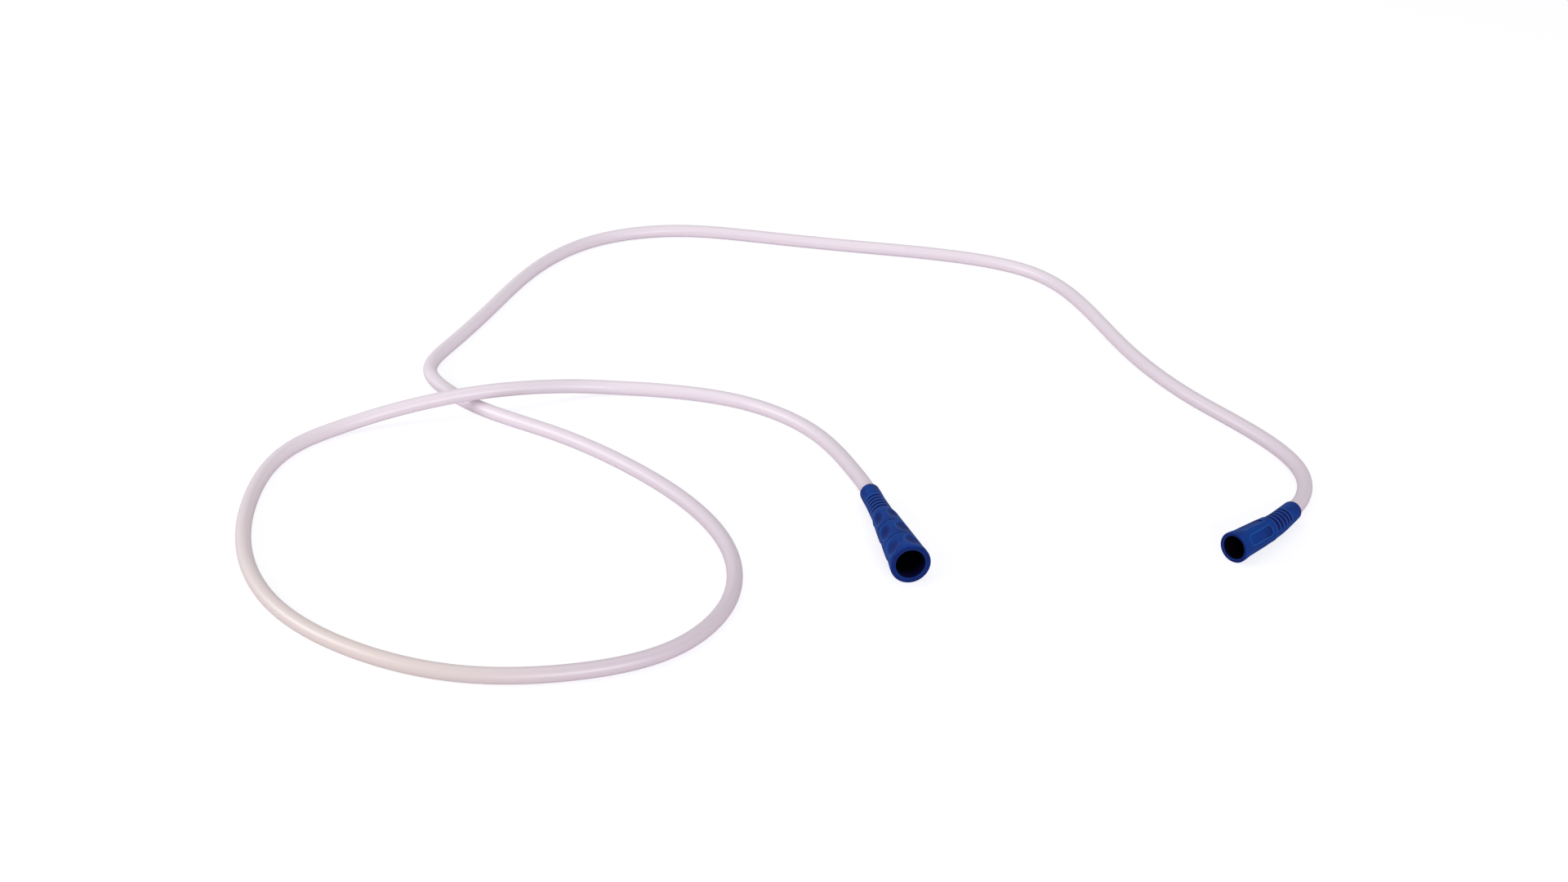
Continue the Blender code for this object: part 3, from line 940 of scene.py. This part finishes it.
@dataclass
class Cuff(Connector):
    """The small connector: a grooved neck, which the hose bends, and a body with four recessed panels."""

    node: str = "cuff_connector"
    mount: str = "cuff_mouth_face"
    length: float = 59.2 * MM
    mouth_radius: float = 8.4 * MM
    mouth_bore: float = 13.0 * MM
    rim_round: float = 0.7 * MM
    lip: float = 0.4 * MM
    end_round: tuple[float, float] = (0.7 * MM, 1.2 * MM)
    socket_depth: float = 16.0 * MM
    segments: int = 240
    daylight: float = 1.2 * MM
    ring_shade: float = 0.9
    collar_radius: float = 5.4 * MM
    neck_length: float = 28.2 * MM
    neck_radius: float = 6.5 * MM
    body_radius: float = 6.9 * MM
    step_length: float = 0.6 * MM
    waist_radius: float = 7.7 * MM
    rim_length: float = 9.0 * MM
    bend: float = math.radians(9.0)
    grooves: Grooves = Grooves(14.0 * MM, 3.3 * MM, 5, 2.0 * MM, 1.0 * MM, 1.15, math.radians(18.0))
    panels: Panels = Panels(
        middle=43.3 * MM,
        length=18.9 * MM,
        width=5.2 * MM,
        depth=0.6 * MM,
        corner=1.5 * MM,
        wall=0.6 * MM,
        facing=math.radians(18.0),
        spread=math.radians(37.0),
        edge=0.12 * MM,
    )
    bands: PartingBands = PartingBands(30.0 * MM, 58.5 * MM, 1.3 * MM, 0.15 * MM, math.radians(92.0))

    def skin_radius(self, height: np.ndarray) -> np.ndarray:
        """Radii of the plain skin.

        Args:
            height: Heights from the collar's end.

        Returns:
            The radii.
        """
        body = self.neck_length + self.step_length
        rim = self.length - self.rim_length
        neck = np.clip(height / self.neck_length, 0.0, 1.0)
        step = np.clip((height - self.neck_length) / self.step_length, 0.0, 1.0)
        taper = np.clip((height - body) / (rim - body), 0.0, 1.0)
        flare = np.clip((height - rim) / (self.rim_length - self.rim_round), 0.0, 1.0)
        radius = self.collar_radius + (self.neck_radius - self.collar_radius) * neck
        radius += (self.body_radius - self.neck_radius) * step * step * (3.0 - 2.0 * step)
        radius += (self.waist_radius - self.body_radius) * taper
        return radius + (self.mouth_radius - self.waist_radius) * flare * flare * (3.0 - 2.0 * flare)

    def rows(self) -> np.ndarray:
        """Heights of the skin's rows, closest at the grooves, the step and the panels."""
        near = 1.2 * MM
        stops = [
            self.end_round[1],
            self.grooves.first - near,
            self.neck_length - 0.3 * MM,
            self.neck_length + self.step_length + 0.3 * MM,
            self.panels.middle - self.panels.length / 2 - 0.3 * MM,
            self.panels.middle + self.panels.length / 2 + 0.3 * MM,
            self.length - self.rim_round,
        ]
        return heights_between(stops, [g * MM for g in (0.8, 0.17, 0.1, 0.3, 0.17, 0.4)])

    def reliefs(self) -> list[Relief]:
        """Grooves, panels and the parting bands."""
        return [self.grooves, self.panels, self.bands]

    def bent(self, places: np.ndarray) -> np.ndarray:
        """Where points of the straight cuff go when the hose bends its neck.

        Args:
            places: Points of the straight cuff.

        Returns:
            Their bent places.
        """
        run = self.neck_length - self.socket_depth
        reach = run / self.bend
        below = np.clip(self.neck_length - places[:, 2], 0.0, None)
        arc = np.minimum(below, run)
        straight = below - arc
        turn = arc / reach
        moved = places.copy()
        y = places[:, 1]
        bent_z = self.neck_length - (reach - y) * np.sin(turn) - straight * np.cos(turn)
        bent_y = reach - (reach - y) * np.cos(turn) + straight * np.sin(turn)
        is_neck = below > 0.0
        moved[:, 2] = np.where(is_neck, bent_z, places[:, 2])
        moved[:, 1] = np.where(is_neck, bent_y, y)
        return moved

    def point(self, height: float) -> Vector:
        """A point of the bent axis, in the model's frame."""
        return self.laid() @ Vector(self.bent(np.array([[0.0, 0.0, height]]))[0])


@dataclass
class Hose:
    """The frosted hose, hollow from end to end, lying in one loop that it crosses in a long low hump."""

    diameter: float = 8.3 * MM
    bore: float = 5.6 * MM
    seat_gap: float = 0.05 * MM
    fit_gap: float = 0.3 * MM
    crossing: tuple[float, float] = (-0.3028, 0.2023)
    crossing_gap: float = 0.8 * MM
    hump_reach: float = 0.095
    ring_gap: float = 4.0 * MM
    segments: int = 40
    route: tuple[tuple[float, float], ...] = (
        (-0.1067, 0.0811),
        (-0.1192, 0.1321),
        (-0.1502, 0.1741),
        (-0.1932, 0.1991),
        (-0.2362, 0.2105),
        (-0.2812, 0.2050),
        (-0.3252, 0.2005),
        (-0.3682, 0.1970),
        (-0.4085, 0.1760),
        (-0.4325, 0.1230),
        (-0.4365, 0.0670),
        (-0.4205, 0.0070),
        (-0.3855, -0.0385),
        (-0.3375, -0.0700),
        (-0.2832, -0.0805),
        (-0.2340, -0.0712),
        (-0.2005, -0.0370),
        (-0.1902, 0.0125),
        (-0.2032, 0.0671),
        (-0.2302, 0.1171),
        (-0.2642, 0.1611),
        (-0.2982, 0.1961),
        (-0.3192, 0.2281),
        (-0.3267, 0.2571),
        (-0.3122, 0.2881),
        (-0.2802, 0.3401),
        (-0.2452, 0.3951),
        (-0.2012, 0.4311),
        (-0.1482, 0.4366),
        (-0.0922, 0.4141),
        (-0.0302, 0.3831),
        (0.0318, 0.3521),
        (0.0738, 0.3151),
        (0.0893, 0.2611),
        (0.0938, 0.1991),
        (0.1098, 0.1226),
        (0.1328, 0.0571),
        (0.1343, 0.0241),
    )

    def plan(self, points: np.ndarray, leave: np.ndarray, arrive: np.ndarray) -> np.ndarray:
        """A smooth curve through plan points, with no jump of curvature.

        Args:
            points: The points.
            leave: The direction in which it leaves the first one.
            arrive: The direction in which it reaches the last one.

        Returns:
            Closely spaced points of the curve.
        """
        spans = np.linalg.norm(np.diff(points, axis=0), axis=1)
        chords = np.diff(points, axis=0) / spans[:, None]
        count = len(points)
        system = np.zeros((count, count))
        right = np.zeros((count, 2))
        system[0, :2] = 2 * spans[0], spans[0]
        system[-1, -2:] = spans[-1], 2 * spans[-1]
        right[0] = 6 * (chords[0] - leave)
        right[-1] = 6 * (arrive - chords[-1])
        for i in range(1, count - 1):
            system[i, i - 1 : i + 2] = spans[i - 1], 2 * (spans[i - 1] + spans[i]), spans[i]
            right[i] = 6 * (chords[i] - chords[i - 1])
        bends = np.linalg.solve(system, right)
        shares = np.arange(0.0, 1.0, 0.05)[:, None]
        before, after = 1.0 - shares, shares
        curve = []
        for i, span in enumerate(spans):
            swell = (before**3 - before) * bends[i] + (after**3 - after) * bends[i + 1]
            curve.append(before * points[i] + after * points[i + 1] + swell * span * span / 6)
        return np.concatenate([*curve, points[-1:]])

    def settled(self, distance: np.ndarray, collar: float, tilt: float) -> np.ndarray:
        """How far above the floor's own height the centre is near a collar.

        Args:
            distance: Distances along the hose from the collar.
            collar: Height of the collar's centre.
            tilt: Slope at which the hose leaves the collar.

        Returns:
            The extra heights.
        """
        drop = collar - self.diameter / 2
        reach = max(2 * abs(drop) / math.tan(tilt), self.diameter)
        left = np.clip(1.0 - distance / reach, 0.0, None)
        return drop * left * left

    def centreline(self, funnel: Funnel, cuff: Cuff) -> np.ndarray:
        """The hose's middle, from its seat in the funnel to its seat in the cuff.

        Args:
            funnel: The connector at its start.
            cuff: The connector at its end.

        Returns:
            One point for each ring of the mesh.
        """
        start = funnel.laid()
        first, seat = start @ Vector(), start @ Vector((0, 0, funnel.socket_depth - self.fit_gap))
        last, last_seat = cuff.point(0.0), cuff.point(cuff.socket_depth - self.fit_gap)
        leave, arrive = (first - seat).normalized(), (last_seat - last).normalized()
        points = np.array([first[:2], *self.route, last[:2]])
        plan = self.plan(points, np.array(leave[:2]), np.array(arrive[:2]))
        gone = np.concatenate([[0.0], np.cumsum(np.linalg.norm(np.diff(plan, axis=0), axis=1))])
        at = np.linspace(0.0, gone[-1], round(gone[-1] / self.ring_gap))
        x, y = np.interp(at, gone, plan[:, 0]), np.interp(at, gone, plan[:, 1])
        z = self.diameter / 2 + self.settled(at, first.z, math.asin(-leave.z))
        z += self.settled(gone[-1] - at, last.z, math.asin(arrive.z))
        away = np.hypot(x - self.crossing[0], y - self.crossing[1])
        over = (away < self.hump_reach) & (at < gone[-1] / 3)
        rise = (self.diameter + self.crossing_gap) * 0.5 * (1.0 + np.cos(math.pi * away / self.hump_reach))
        z += np.where(over, rise, 0.0)
        lead = [np.array(seat.lerp(first, share)) for share in np.arange(0.0, 1.0, 0.2)]
        tail = [np.array(last.lerp(last_seat, share)) for share in np.arange(0.2, 1.01, 0.2)]
        return np.array([*lead, *np.column_stack([x, y, z]), *tail])

    def build(self, funnel: Funnel, cuff: Cuff, material: bpy.types.Material) -> bpy.types.Object:
        """Make the hose.

        Args:
            funnel: The connector at its start.
            cuff: The connector at its end.
            material: Its finish.

        Returns:
            The piece.
        """
        line = self.centreline(funnel, cuff)
        gone = np.concatenate([[0.0], np.cumsum(np.linalg.norm(np.diff(line, axis=0), axis=1))])
        outer = [(self.diameter / 2, height) for height in gone]
        inner = [(self.bore / 2, height) for height in gone[::-1]]
        mesh = mesh_of("pvc_hose", turned(outer + inner, self.segments))
        straight = corners_of(mesh)
        keep_layer(mesh, Layer.STRAIGHT, straight)
        ahead = np.gradient(line, gone, axis=0)
        ahead /= np.linalg.norm(ahead, axis=1)[:, None]
        side = np.cross(np.array([0.0, 0.0, 1.0]), ahead)
        side /= np.linalg.norm(side, axis=1)[:, None]
        up = np.cross(ahead, side)
        ring = np.argmin(np.abs(straight[:, 2, None] - gone[None, :]), axis=1)
        places = line[ring] + up[ring] * straight[:, :1] + side[ring] * straight[:, 1:2]
        move_corners(mesh, places)
        piece = dressed("frosted_hose", mesh, material, "pvc_hose")
        tuple(funnel.laid() @ Vector())
        return piece


@dataclass(frozen=True)
class Lamp:
    """A soft rectangular lamp."""

    name: str
    place: tuple[float, float, float]
    aim: tuple[float, float, float]
    size: tuple[float, float]
    power: float

    def build(self) -> None:
        """Hang the lamp and point it at its aim."""
        data = bpy.data.lights.new(self.name, "AREA")
        data.shape = "RECTANGLE"
        data.size, data.size_y = self.size
        data.energy = self.power
        lamp = bpy.data.objects.new(self.name, data)
        lamp.location = self.place
        lamp.rotation_euler = (Vector(self.aim) - Vector(self.place)).to_track_quat("-Z", "Y").to_euler()
        bpy.context.scene.collection.objects.link(lamp)


@dataclass
class Studio:
    """Camera, lamps, floor and world."""

    camera_place: tuple[float, float, float] = (-0.3682, -0.9390, 0.5942)
    camera_heading: float = math.radians(12.2874)
    camera_pitch: float = math.radians(28.5)
    lens: float = 50.0
    sensor: float = 36.0
    floor_reach: float = 12.0
    ambient: float = 0.45
    lamps: tuple[Lamp, ...] = (
        Lamp("front", (0.2, -2.8, 1.0), (-0.1, 0.1, 0.0), (2.0, 0.75), 48.0),
        Lamp("left", (-1.9, 0.3, 0.9), (-0.15, 0.1, 0.0), (1.2, 0.5), 16.0),
        Lamp("overhead", (-0.1, 0.6, 1.4), (-0.15, 0.1, 0.0), (1.2, 0.5), 3.0),
    )

    def build_camera(self) -> None:
        """Stand the camera where the photograph was taken from."""
        data = bpy.data.cameras.new("photo_camera")
        data.lens = self.lens
        data.sensor_width = self.sensor
        data.clip_start, data.clip_end = 0.01, 60.0
        camera = bpy.data.objects.new("photo_camera", data)
        camera.location = self.camera_place
        camera.rotation_euler = (math.pi / 2 - self.camera_pitch, 0.0, -self.camera_heading)
        bpy.context.scene.collection.objects.link(camera)
        bpy.context.scene.camera = camera

    def build_floor(self) -> None:
        """Lay the white floor."""
        shape = bmesh.new()
        bmesh.ops.create_grid(shape, x_segments=2, y_segments=2, size=self.floor_reach)
        floor = bpy.data.objects.new("studio_floor", mesh_of("studio_floor", shape))
        floor.data.materials.append(StudioWhite().make())
        bpy.context.scene.collection.objects.link(floor)

    def build_world(self) -> None:
        """Light everything evenly, with plain white where the camera, a gloss or a clear piece looks."""
        world = bpy.data.worlds.new("studio_world")
        world.use_nodes = True
        bpy.context.scene.world = world
        shader = Shader(world.node_tree)
        paths = shader.node("ShaderNodeLightPath")
        camera, glossy, through = (Number(shader, paths.outputs[ray.value]) for ray in Ray)
        strength = self.ambient + camera.most(glossy).most(through) * (1.0 - self.ambient)
        sky = shader.node("ShaderNodeBackground", {}, {"Color": (1.0, 1.0, 1.0, 1.0), "Strength": strength})
        shader.node("ShaderNodeOutputWorld", {}, {"Surface": sky.outputs[0]})

    def build(self) -> None:
        """Set the studio up round the object."""
        self.build_floor()
        self.build_world()
        for lamp in self.lamps:
            lamp.build()
        bpy.context.scene.view_settings.view_transform = "Standard"


def report(pieces: Iterable[bpy.types.Object]) -> None:
    """Log each piece and its number of faces."""
    for piece in pieces:
        LOG.info("%s: %d faces", piece.name, len(piece.data.polygons))


def main() -> None:
    """Build the camera, the hose, its connectors and the studio, in that order."""
    studio = Studio()
    studio.build_camera()
    hose, funnel, cuff = Hose(), Funnel(), Cuff()
    blue = BlueVinyl().make()
    pieces = [
        hose.build(funnel, cuff, FrostedVinyl().make()),
        funnel.build(hose, blue),
        cuff.build(hose, blue),
    ]
    studio.build()
    report(pieces)


if __name__ == "__main__":
    main()
